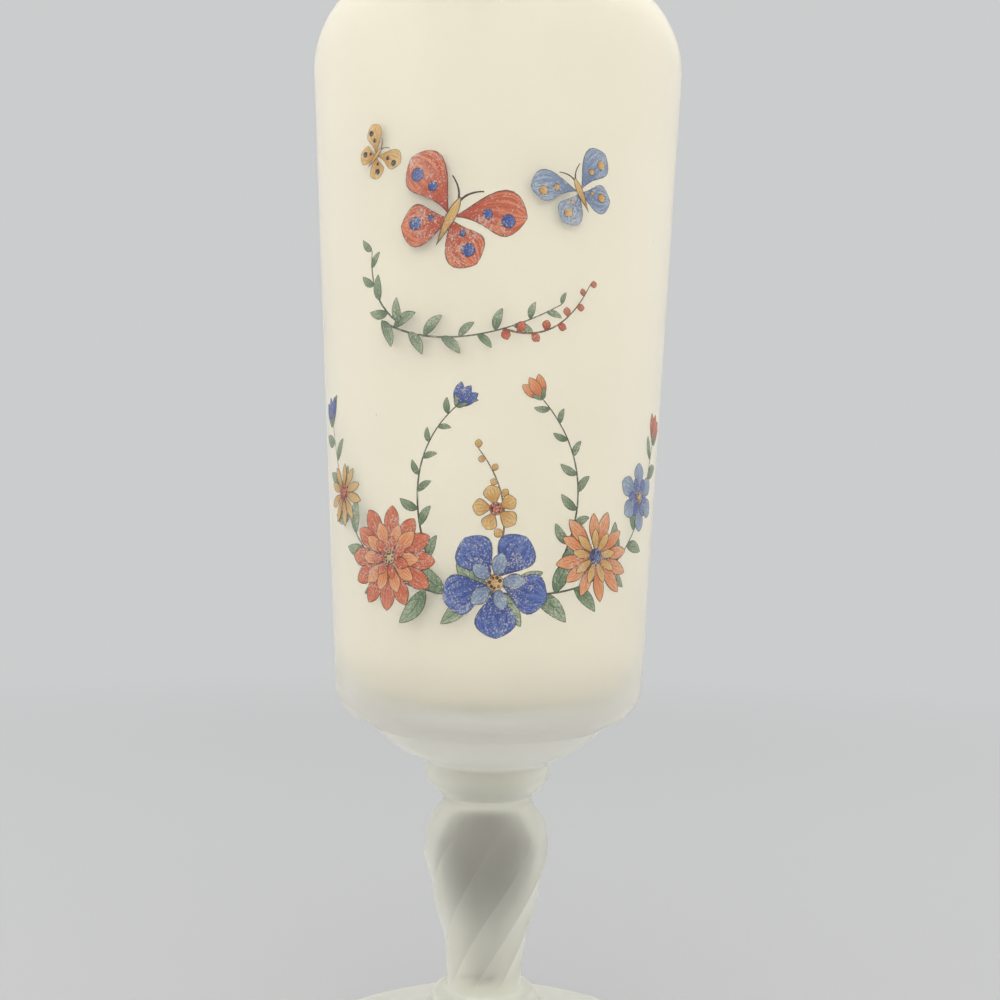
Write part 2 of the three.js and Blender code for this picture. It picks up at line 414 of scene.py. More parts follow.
def piece(name: str, mesh: Mesh, finishes: list[Material],
          node: str | None = None) -> bpy.types.Object:
    """Puts a mesh into the scene as a piece of the vase.

    Args:
        name: The piece's name.
        mesh: Its mesh, in place.
        finishes: Its materials, of which the second is on the faces that are melted to other pieces.
        node: The CAD node that it stands for, if any.

    Returns:
        The object.
    """
    indices = [face.material_index for face in mesh.polygons]
    mesh.materials.clear()
    for finish in finishes:
        mesh.materials.append(finish)
    mesh.polygons.foreach_set("material_index", indices)
    made = put(name, mesh)
    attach(made, BODY)
    if node:
        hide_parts(node)
    log.info("%s: %d vertices, %s", name, len(mesh.vertices), finishes[0].name)
    return made


def sink(mesh: Mesh, inner: list[Mesh], index: int) -> None:
    """Adds closed shells to a mesh, inside it.

    Args:
        mesh: The mesh.
        inner: The shells.
        index: The number of the material that they get.
    """
    both = bmesh.new()
    both.from_mesh(mesh)
    outside = len(both.faces)
    for shell in inner:
        both.from_mesh(shell)
    both.faces.ensure_lookup_table()
    for face in both.faces[outside:]:
        face.material_index = index
    both.to_mesh(mesh)
    both.free()


def grow(mesh: Mesh, tree: Tree, sizes: dict[str, Any]) -> Mesh:
    """Runs a geometry tree on a mesh.

    Args:
        mesh: The mesh that the tree starts from.
        tree: The tree.
        sizes: A value for each of the tree's named inputs.

    Returns:
        The result, as a plain mesh.
    """
    holder = put(mesh.name, mesh)
    modifier = holder.modifiers.new(tree.name, "NODES")
    modifier.node_group = tree
    for item in tree.interface.items_tree:
        if item.item_type == "SOCKET" and item.in_out == "INPUT" and item.name in sizes:
            modifier[item.identifier] = sizes[item.name]
    graph = bpy.context.evaluated_depsgraph_get()
    grown = bpy.data.meshes.new_from_object(holder.evaluated_get(graph), preserve_all_data_layers=True,
                                            depsgraph=graph)
    bpy.data.objects.remove(holder)
    return grown


def etched_grain() -> Tree:
    """The group that gives the fine, uneven grain of acid-etched glass."""
    group = Group("etched_grain", SHADER)
    place, grain, cloud = group.takes({"Place": ORIGIN, "Grain": 2600.0, "Cloud": 38.0})
    fine = group.noise(place, grain, 3.0, 0.6)
    soft = group.noise(place, cloud, 3.0, 0.55)
    return group.gives({"Height": fine, "Cloud": group.ramp(soft, 0.3, 0.7),
                        "Frost": group.math("MULTIPLY_ADD", fine, 0.6, group.times(soft, 0.4))})


def handling_marks() -> Tree:
    """The group that gives sparse dust specks and faint rubbed patches."""
    group = Group("handling_marks", SHADER)
    place, amount = group.takes({"Place": ORIGIN, "Amount": 0.5})
    cells = group.add("ShaderNodeTexVoronoi", {"Vector": place, "Scale": 190.0})
    near = group.math("LESS_THAN", cells.outputs["Distance"], 0.045)
    chance = group.add("ShaderNodeSeparateColor", {0: cells.outputs["Color"]}).outputs[0]
    picked = group.math("LESS_THAN", chance, group.times(amount, 0.2))
    rub = group.ramp(group.noise(place, 62.0, 4.0, 0.62), 0.52, 0.68)
    return group.gives({"Speck": group.times(near, picked), "Rub": group.times(rub, amount)})


@dataclass(frozen=True)
class Frosting:
    """The two groups that every finish of the vase uses."""

    grain: Tree
    marks: Tree


@dataclass(frozen=True)
class SatinGlass:
    """Acid-etched glass: pale, matt and cloudy, but clear enough to show what lies inside it; fluted copies
    get painted shade across each flute.
    """

    name: str
    tint: Colour
    shade: Colour
    transmission: float = 0.78
    roughness: float = 0.58
    ior: float = 1.28
    sheen: float = 0.3
    # How much painted shade darkens each flute towards one side, and the colour of that shade, in place of
    # the shading of its ridges.
    fluted: float = 0.0
    flute_shade_tone: Colour = (0.35, 0.34, 0.30)
    rubbed: Colour = (0.9, 0.9, 0.86)
    rub_share: float = 0.12
    dust: Colour = (0.33, 0.31, 0.27)
    dust_share: float = 0.5
    mottling: float = 0.16
    polish: float = 0.05
    etching: Pair = (0.12, 0.1 * MM)

    def material(self, frosting: Frosting) -> Material:
        """Makes the material.

        Args:
            frosting: The groups for the etched grain and the marks of handling.

        Returns:
            The material.
        """
        made = Surface(self.name)
        place = {"Place": made.place()}
        grain, marks = made.group(frosting.grain, place), made.group(frosting.marks, place)
        colour = made.blend(grain["Cloud"], self.shade, self.tint)
        # Painted shade: each flute is darker towards one side, as light would fall across its ridges.
        if self.fluted:
            colour = made.blend(made.attribute("flute"), colour, self.flute_shade_tone, self.fluted)
        colour = made.blend(marks["Rub"], colour, self.rubbed, self.rub_share)
        colour = made.blend(marks["Speck"], colour, self.dust, self.dust_share)
        rough = made.mottled(grain["Frost"], self.roughness, self.mottling)
        rough = made.math("MULTIPLY_ADD", marks["Rub"], -self.polish, rough, clamp=True)
        return made.finish({
            "Base Color": colour, "Roughness": rough, "Normal": made.bump(grain["Height"], *self.etching),
            "IOR": self.ior, "Transmission Weight": self.transmission, "Sheen Weight": self.sheen,
            "Sheen Roughness": 0.5})


@dataclass(frozen=True)
class MeltedJoint:
    """The finish of faces inside the glass, where two pieces are melted together and nothing shows."""

    name: str = "melted_joint"
    tint: Colour = (0.95, 0.95, 0.92)

    def material(self) -> Material:
        """Makes the material."""
        return Surface(self.name).finish({"Base Color": rgba(self.tint), "Alpha": 0.0})


@dataclass(frozen=True)
class StemPaintedShade:
    """Painted shade in the middle of the stem: dark, half-clear shells where the thick glass lets the least
    light through.
    """

    name: str = "stem_heart"
    tint: Colour = (0.08, 0.07, 0.05)
    depth: float = 0.6
    least: float = 0.04
    clear: float = 9 * MM
    fade: float = 34 * MM
    pause: Pair = (0.8 * MM, 11 * MM)
    end: Pair = (3 * MM, 0.8 * MM)

    def material(self, low: float, high: float, top: float) -> Material:
        """Makes the material.

        Args:
            low: The height of the stem's foot.
            high: The height of the neck, where it pauses.
            top: The height at which it ends.

        Returns:
            The material.
        """
        made = Surface(self.name)
        place = made.place()
        height = made.parts(place)[2]
        start = low + self.clear
        share = made.ramp(height, start, start + self.fade, self.least, self.depth)
        gap = made.math("ABSOLUTE", made.math("SUBTRACT", height, high - self.pause[0]))
        pause = made.math("MAXIMUM", made.ramp(gap, *self.pause), made.ramp(height, high, high + 1 * MM))
        end = made.ramp(height, top - self.end[0], top - self.end[1], 1.0, 0.0)
        cloud = made.math("MULTIPLY_ADD", made.noise(place, 160.0), 0.2, 0.9)
        share = made.math("MULTIPLY", made.times(share, pause, end), cloud, clamp=True)
        # A dark, matt sheet whose alpha is the share of painted shade.
        return made.finish({"Base Color": rgba(self.tint), "Alpha": share, "Roughness": 1.0,
                            "Specular IOR Level": 0.0})


@dataclass(frozen=True)
class OpalGlass:
    """Warm white opal glass, smooth inside and faintly clouded where it was blown thin."""

    name: str
    tint: Colour
    shade: Colour
    roughness: float = 0.3
    clouds: float = 14.0
    rub_share: float = 0.1
    mottling: float = 0.1
    waviness: Pair = (0.05, 0.2 * MM)

    def material(self, frosting: Frosting) -> Material:
        """Makes the material.

        Args:
            frosting: The groups for the grain and the marks of handling.

        Returns:
            The material.
        """
        made = Surface(self.name)
        place = made.place()
        grain = made.group(frosting.grain, {"Place": place, "Cloud": self.clouds})
        marks = made.group(frosting.marks, {"Place": place})
        colour = made.blend(grain["Cloud"], self.shade, self.tint)
        return made.finish({
            "Base Color": made.blend(marks["Rub"], colour, self.shade, self.rub_share), "IOR": PLAIN_IOR,
            "Roughness": made.mottled(grain["Frost"], self.roughness, self.mottling),
            "Normal": made.bump(grain["Cloud"], *self.waviness)})


@dataclass
class Foot:
    """The round foot and the two-tiered hub on it."""

    edge: float = 3.2 * MM
    ring_width: float = 8 * MM
    ring_bevel: float = 0.9 * MM
    recess: float = 2 * MM
    hub_radius: float = 17 * MM
    hub_top_radius: float = 13.1 * MM
    lower_tier: float = 4.3 * MM
    upper_tier: float = 5.1 * MM
    rounding: float = 2 * MM
    stem_radius: float = 9.2 * MM

    def disc(self) -> Profile:
        """The profile of the foot: a ring to stand on, a shallow recess and a hollow upper slope."""
        low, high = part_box("foot_disc")
        radius, seat = high.x, high.z
        inside = radius - self.ring_bevel - self.ring_width
        middle = (radius + self.hub_radius) / 2
        return (Profile(0, self.recess)
                .line(inside - 2 * self.recess, self.recess)
                .bend((inside - 0.8 * self.recess, self.recess), (inside, low.z), 8)
                .line(radius - self.ring_bevel, low.z)
                .line(radius, self.ring_bevel)
                .bend((radius, self.edge), (radius - self.edge, self.edge))
                .bend((middle, self.edge + (seat - self.edge) / 5), (self.hub_radius, seat), 40)
                .line(0, seat))

    def hub(self) -> Profile:
        """The profile of the hub: two tiers with soft edges and a fillet up to the stem."""
        low, high = (corner.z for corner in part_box("foot_hub"))
        step = low + self.lower_tier
        top = step + self.upper_tier
        wide, slim, soft = self.hub_radius, self.hub_top_radius, self.rounding
        return (Profile(0, low)
                .line(wide, low)
                .line(wide, step - soft)
                .bend((wide, step), (wide - soft, step), 10)
                .line(slim, step)
                .line(slim, top - soft)
                .bend((slim, top), (slim - soft, top), 10)
                .bend((self.stem_radius, top), (self.stem_radius, high), 10)
                .line(0, high))

    def build(self, finishes: list[Material]) -> None:
        """Makes both pieces in the given finishes."""
        low, high = (corner.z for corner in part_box("foot_hub"))
        disc, hub = lathe("satin_foot", self.disc()), lathe("satin_hub", self.hub())
        fuse(disc, {low: self.hub_radius})
        fuse(hub, {low: self.hub_radius, high: self.stem_radius})
        piece("satin_foot", disc, finishes, "foot_disc")
        piece("satin_hub", hub, finishes, "foot_hub")


@dataclass
class Stem:
    """The baluster stem with its swirled flutes and its plain tenon."""

    foot_radius: float = 9.2 * MM
    bulge_radius: float = 15.65 * MM
    bulge_height: float = 32.6 * MM
    neck_radius: float = 11.2 * MM
    tenon_radius: float = 10.4 * MM
    flutes: int = 9
    flute_depth: float = 0.75 * MM
    lean: float = math.radians(31)
    start: float = math.radians(-111)
    fade_low: float = 5 * MM
    fade_high: float = 20 * MM
    columns_per_flute: int = 32
    crease: float = 50.0
    # The shells of painted shade inside the stem and its tenon: their drop, step, gap, foot, widths and
    # columns.
    heart_drop: float = 3 * MM
    heart_step: float = 9 * MM
    heart_gap: float = 0.3 * MM
    heart_foot: float = 4 * MM
    heart_shares: tuple[float, ...] = (0.60, 0.44, 0.27)
    tenon_shares: tuple[float, ...] = (0.9, 0.68, 0.45)
    tenon_gap: float = 0.15 * MM
    heart_columns: int = 96

    def side(self) -> Profile:
        """The profile of the stem before it is fluted, from its foot up to its neck."""
        low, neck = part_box("twisted_stem")[0].z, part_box("knop_collar")[0].z
        bulge = low + self.bulge_height
        above = neck - bulge
        return (Profile(self.foot_radius, low)
                .sweep((self.foot_radius, low + self.bulge_height * 0.4),
                       (self.bulge_radius, bulge - self.bulge_height * 0.18), (self.bulge_radius, bulge), 90)
                .sweep((self.bulge_radius, bulge + above * 0.76), (self.neck_radius, bulge + above * 0.8),
                       (self.neck_radius, neck), 54))

    def heart(self, share: float) -> Profile:
        """The profile of one shell of the painted shade in the middle of the baluster.

        Args:
            share: How wide the shell is, as a share of the glass round it.

        Returns:
            The profile.
        """
        low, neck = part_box("twisted_stem")[0].z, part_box("knop_collar")[0].z
        top = neck - self.heart_drop - (self.heart_shares[0] - share) * self.heart_step
        wide, slim = self.bulge_radius * share, self.foot_radius * share * 0.8
        high = low + self.bulge_height
        return (Profile(0, low + self.heart_gap)
                .line(slim, low + self.heart_gap)
                .line(slim, low + self.heart_foot, 4)
                .sweep((slim, low + self.bulge_height * 0.45), (wide, high - self.bulge_height * 0.3),
                       (wide, high), 40)
                .sweep((wide, high + (top - high) * 0.35), (wide * 0.55, top), (wide * 0.1, top))
                .line(0, top))

    def tenon_shade_shell(self, share: float) -> Profile:
        """The profile of one shell of the painted shade in the middle of the tenon, by its share of the
        width.
        """
        low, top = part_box("knop_collar")[0].z + 2 * MM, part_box("twisted_stem")[1].z - self.tenon_gap
        wide, bevel = self.tenon_radius * share, 1 * MM
        return Profile(0, low).line(wide - bevel, low).line(wide, low + bevel).line(wide, top).line(0, top)

    def blank(self) -> Mesh:
        """The plain turned stem, with the turn and the place across a flute kept on its points."""
        side = self.side().clean()
        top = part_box("twisted_stem")[1].z
        whole = Profile(0, side[0, 1])
        whole.points += [tuple(point) for point in side]
        whole.line(self.tenon_radius, side[-1, 1]).line(self.tenon_radius, top).line(0, top)
        mesh = lathe("swirl_stem", whole, self.flutes * self.columns_per_flute)
        steps = np.diff(side[:, 1]) * math.tan(self.lean) / side[1:, 0]
        points = np.array([v.co for v in mesh.vertices])
        angle = np.arctan2(points[:, 1], points[:, 0]) / (2 * math.pi) * self.flutes
        turns = np.concatenate([[0.0], np.cumsum(steps)])
        keep(mesh, "turn", self.start + np.interp(points[:, 2], side[:, 1], turns))
        keep(mesh, "across", np.mod(angle + 1e-6, 1.0))
        return mesh

    def fluting(self, finish: Material) -> Tree:
        """The tree that cuts concave flutes into the blank and turns them round it.

        Args:
            finish: The material that it sets.

        Returns:
            The tree.
        """
        group = Group("swirl_fluting", GEOMETRY)
        shape, depth, widest, foot, neck, fade_low, fade_high = group.takes({
            "Blank": None, "Flute Depth": 0.0, "Bulge Radius": 0.0, "Foot Height": 0.0, "Neck Height": 0.0,
            "Fade Low": 0.0, "Fade High": 0.0})
        x, y, height = group.position()
        low = group.ramp(height, foot, group.math("ADD", foot, fade_low))
        high = group.ramp(group.math("SUBTRACT", neck, height), 0.0, fade_high)
        fade = group.times(low, high)
        across, turn = (group.add("GeometryNodeInputNamedAttribute", {"Name": name},
                                  data_type="FLOAT").outputs[0] for name in ("across", "turn"))
        hollow = group.times(across, group.math("SUBTRACT", 1.0, across), 4.0, fade)
        rest = group.math("SUBTRACT", 1.0, group.math("DIVIDE", group.times(hollow, depth), widest))
        cut = group.joined(group.times(x, rest), group.times(y, rest), height)
        turned = group.add("ShaderNodeVectorRotate", {"Vector": cut, "Angle": turn}, rotation_type="Z_AXIS")
        moved = group.add("GeometryNodeSetPosition", {"Geometry": shape, "Position": turned.outputs[0]})
        # Keeps the place across each flute, faded where the flutes fade, for the painted shade of the flutes
        # in the material.
        told = group.add("GeometryNodeStoreNamedAttribute", {
            "Geometry": moved.outputs[0], "Name": "flute", "Value": group.times(across, fade)},
            data_type="FLOAT", domain="POINT")
        return group.close("Stem", told.outputs[0], finish)

    def build(self, finishes: list[Material]) -> None:
        """Makes the stem in the given finishes, with shells of painted shade inside it."""
        low, high = (corner.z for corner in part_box("twisted_stem"))
        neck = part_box("knop_collar")[0].z
        mesh = grow(self.blank(), self.fluting(finishes[0]), {
            "Flute Depth": self.flute_depth, "Bulge Radius": self.bulge_radius, "Foot Height": low,
            "Neck Height": neck, "Fade Low": self.fade_low, "Fade High": self.fade_high})
        smooth(mesh, self.crease)
        fuse(mesh, {low: self.foot_radius, neck: self.neck_radius, high: self.tenon_radius})
        # Dark shells of painted shade sink into the middle of the stem and the tenon.
        shells = [self.heart(share) for share in self.heart_shares]
        shells += [self.tenon_shade_shell(share) for share in self.tenon_shares]
        sink(mesh, [lathe("heart", shell, self.heart_columns) for shell in shells], 2)
        heart = StemPaintedShade().material(low, neck, high)
        piece("swirl_stem", mesh, [*finishes, heart], "twisted_stem")


@dataclass
class Joint:
    """The collar round the stem's tenon and the stepped cup that holds the body."""

    bore: float = 10.7 * MM
    neck_radius: float = 11.2 * MM
    collar_radius: float = 15 * MM
    swell: float = 1.9 * MM
    cup_radius: float = 28.3 * MM
    cup_foot_radius: float = 15.1 * MM
    cup_lip: float = 0.05 * MM
    seat_radius: float = 23 * MM
    pitch: float = math.radians(27.5)
    bite: float = 0.1 * MM

    def collar(self) -> Profile:
        """The profile of the collar: a ring that swells from the stem's neck to the cup's foot."""
        low, high = (corner.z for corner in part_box("knop_collar"))
        tall, flare = high - low, self.collar_radius - self.neck_radius
        return (Profile(self.bore, low)
                .line(self.neck_radius, low)
                .line(self.neck_radius, low + tall * 0.11, 2)
                .sweep((self.neck_radius + flare * 0.7, low + tall * 0.4),
                       (self.collar_radius + self.swell, low + tall * 0.53), (self.collar_radius, high), 40)
                .line(self.bore, high))

    def cup(self) -> Profile:
        """The profile of the cup: a shallow bowl and a dished top that grips the body."""
        low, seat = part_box("base_cup")[0].z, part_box("body_shell")[0].z
        reach = self.cup_radius - self.cup_foot_radius
        rim = seat + (self.cup_radius - self.seat_radius) * math.tan(self.pitch) + self.bite
        return (Profile(0, low)
                .line(self.collar_radius, low)
                .line(self.cup_foot_radius, low)
                .sweep((self.cup_foot_radius, low + (rim - low) * 0.22),
                       (self.cup_foot_radius + reach * 0.66, low + (rim - low) * 0.3),
                       (self.cup_radius, rim - self.cup_lip), 40)
                .line(self.cup_radius, rim)
                .line(self.seat_radius, seat + self.bite)
                .line(0, seat + self.bite))

    def build(self, finishes: list[Material]) -> None:
        """Makes both pieces in the given finishes."""
        low, high = (corner.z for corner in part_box("knop_collar"))
        collar, cup = lathe("satin_collar", self.collar(), ring=True), lathe("satin_cup", self.cup())
        fuse(collar, {low: self.neck_radius, high: self.collar_radius})
        fuse(cup, {high: self.collar_radius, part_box("base_cup")[0].z: self.collar_radius})
        for face in cup.polygons:
            if face.normal.z > LEVEL:
                face.material_index = 1
        piece("satin_collar", collar, finishes, "knop_collar")
        piece("satin_cup", cup, finishes, "base_cup")


@dataclass(frozen=True)
class Round:
    """A round of the body's outline: its centre, and its radius on the outside of the glass."""

    x: float
    z: float
    radius: float

    @property
    def centre(self) -> Pair:
        """The centre as one pair."""
        return self.x, self.z

    def touch(self, lean: float, depth: float = 0.0) -> Pair:
        """The point where a side that leans out by an angle touches the round, at a depth in the glass."""
        reach = self.radius - depth
        return self.x + reach * math.cos(lean), self.z - reach * math.sin(lean)


@dataclass
class Body:
    """The casing and the opal bag inside it, from the flat seat up to the flared lip."""

    seat_radius: float = 23 * MM
    cup_radius: float = 28.2 * MM
    cup_margin: float = 0.1 * MM
    pitch: float = math.radians(27.5)
    heel_radius: float = 38.35 * MM
    heel_rounding: float = 8.9 * MM
    side_height: float = 154.6 * MM
    shoulder_radius: float = 47.2 * MM
    shoulder_rounding: float = 18 * MM
    shoulder_pitch: float = math.radians(12)
    neck_radius: float = 20.5 * MM
    neck_sweep: float = 14 * MM
    mouth_lean: float = math.radians(55)
    lip_reach: float = 4.5 * MM
    casing: float = 1.2 * MM
    casing_at_heel: float = 2.2 * MM
    lining_wall: float = 1.3 * MM
    lining_rounding: float = 14 * MM
    clearance: float = 0.3 * MM
    bite: float = 0.15 * MM
    lip_step: float = 0.05 * MM
    heel: Round = field(init=False)
    shoulder: Round = field(init=False)
    neck: Round = field(init=False)
    lining_heel: Round = field(init=False)

    def __post_init__(self) -> None:
        """Works out the rounds from the sizes and from the seats in the frame."""
        self.seat, self.lining_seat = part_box("body_shell")[0].z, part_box("opal_lining")[0].z
        self.lining_depth = self.casing + self.clearance
        self.wall = self.lining_depth + self.lining_wall
        x, r = self.heel_radius - self.heel_rounding, self.heel_rounding
        under = self.seat + (x + r * math.sin(self.pitch) - self.seat_radius) * math.tan(self.pitch)
        self.heel = Round(x, under + r * math.cos(self.pitch), r)
        x, r = self.shoulder_radius - self.shoulder_rounding, self.shoulder_rounding
        self.shoulder = Round(x, self.heel.z + self.side_height, r)
        x, both = self.neck_radius + self.neck_sweep, r + self.neck_sweep
        rise = (both - (x - self.shoulder.x) * math.sin(self.shoulder_pitch)) / math.cos(self.shoulder_pitch)
        self.neck = Round(x, self.shoulder.z + rise, self.neck_sweep)
        x, r = self.heel_radius - self.casing_at_heel - self.clearance, self.lining_rounding
        self.lining_heel = Round(x - r, self.lining_seat + r, r + self.lining_depth)

    def lean(self, low: Round) -> float:
        """How far the straight side above a round leans out, in radians."""
        across, up = self.shoulder.x - low.x, self.shoulder.z - low.z
        narrowing = low.radius - self.shoulder.radius
        return math.acos(narrowing / math.hypot(across, up)) - math.atan2(up, across)

    def skin(self, profile: Profile, low: Round, start: float, depth: float) -> Profile:
        """Adds one skin of the body to a profile, from the bottom up.

        Args:
            profile: The profile.
            low: The round at the heel.
            start: The angle at which the skin starts on that round.
            depth: How far the skin lies inside the outside of the glass.

        Returns:
            The profile.
        """
        lean, slope = self.lean(low), math.pi / 2 - self.shoulder_pitch
        profile.arc(low.centre, low.radius - depth, start, -lean, 28)
        profile.line(*self.shoulder.touch(lean, depth), 30)
        profile.arc(self.shoulder.centre, self.shoulder.radius - depth, -lean, slope, 36)
        return profile.arc(self.neck.centre, self.neck.radius + depth, slope - math.pi,
                           -math.pi - self.mouth_lean, 40)

    def inner_skin(self, floor: float, depth: float) -> list[Pair]:
        """The points of a skin inside the glass, from its flat floor up.

        Args:
            floor: The height of the floor.
            depth: How far the skin lies inside the outside of the glass.

        Returns:
            The points.
        """
        low = self.lining_heel
        drop = min(1.0, (low.z - floor) / (low.radius - depth))
        return self.skin(Profile(0, floor).line(low.x, floor), low, -math.asin(drop), depth).points

    def lip_point(self, depth: float, reach: float) -> Pair:
        """A point of the flared lip.

        Args:
            depth: How far it lies inside the outside of the glass.
            reach: How far it lies beyond the neck's round.

        Returns:
            The point.
        """
        c, s = math.cos(self.mouth_lean), math.sin(self.mouth_lean)
        out = self.neck.radius + depth
        return self.neck.x - c * out + s * reach, self.neck.z + s * out + c * reach

    def casing_profile(self) -> Profile:
        """The profile of the casing, whose inside is sunk a little into the lining, as if fused."""
        lean, depth = self.mouth_lean, self.lining_depth + self.bite
        across = self.cup_radius - self.seat_radius
        outside = (Profile(0, self.seat)
                   .line(self.seat_radius, self.seat)
                   .line(self.cup_radius, self.seat + across * math.tan(self.pitch)))
        self.skin(outside, self.heel, self.pitch - math.pi / 2, 0)
        outside.arc(self.lip_point(self.wall / 2, self.lip_reach), self.wall / 2, -lean, math.pi - lean)
        outside.line(*self.lip_point(self.wall, self.lip_step)).line(*self.lip_point(depth, self.lip_step))
        outside.points += self.inner_skin(self.lining_seat + self.bite, depth)[::-1]
        return outside

    def lining_profile(self) -> Profile:
        """The profile of the opal bag, up its outside and down its inside."""
        outside = self.inner_skin(self.lining_seat, self.lining_depth)
        inside = self.inner_skin(self.lining_seat + self.lining_wall, self.wall)
        made = Profile(*outside[0])
        made.points += outside[1:] + inside[::-1]
        return made

    def build(self, casing: list[Material], opal: Material) -> None:
        """Makes both pieces.

        Args:
            casing: The finishes of the casing: its own, that of its melted seat and that of its lip.
            opal: The finish of the bag.
        """
        shell = lathe("body_casing", self.casing_profile())
        # The lip's faces get the third finish, a darker glass that paints shade on the lip.
        for face in shell.polygons:
            radius, height = around(face.center)
            beyond = ((radius - self.neck.x) * math.sin(self.mouth_lean)
                      + (height - self.neck.z) * math.cos(self.mouth_lean))
            if radius < self.cup_radius - self.cup_margin and height < self.heel.z and face.normal.z < -LEVEL:
                face.material_index = 1
            elif height > self.neck.z and beyond > 0:
                face.material_index = 2
        piece("opal_bag", lathe("opal_bag", self.lining_profile()), [opal], "opal_lining")
        piece("body_casing", shell, casing, "body_shell")


class Pigment(Enum):
    """The fired enamels: a deep and a pale tone of each."""

    RUST = ((0.38, 0.055, 0.022), (0.64, 0.21, 0.10))
    ORANGE = ((0.52, 0.13, 0.04), (0.74, 0.40, 0.19))
    OCHRE = ((0.45, 0.22, 0.05), (0.72, 0.50, 0.20))
    COBALT = ((0.03, 0.055, 0.22), (0.12, 0.18, 0.42))
    SLATE = ((0.11, 0.16, 0.27), (0.32, 0.40, 0.50))
    GREEN = ((0.11, 0.18, 0.09), (0.38, 0.47, 0.30))
    INK = ((0.03, 0.02, 0.018), (0.05, 0.035, 0.03))


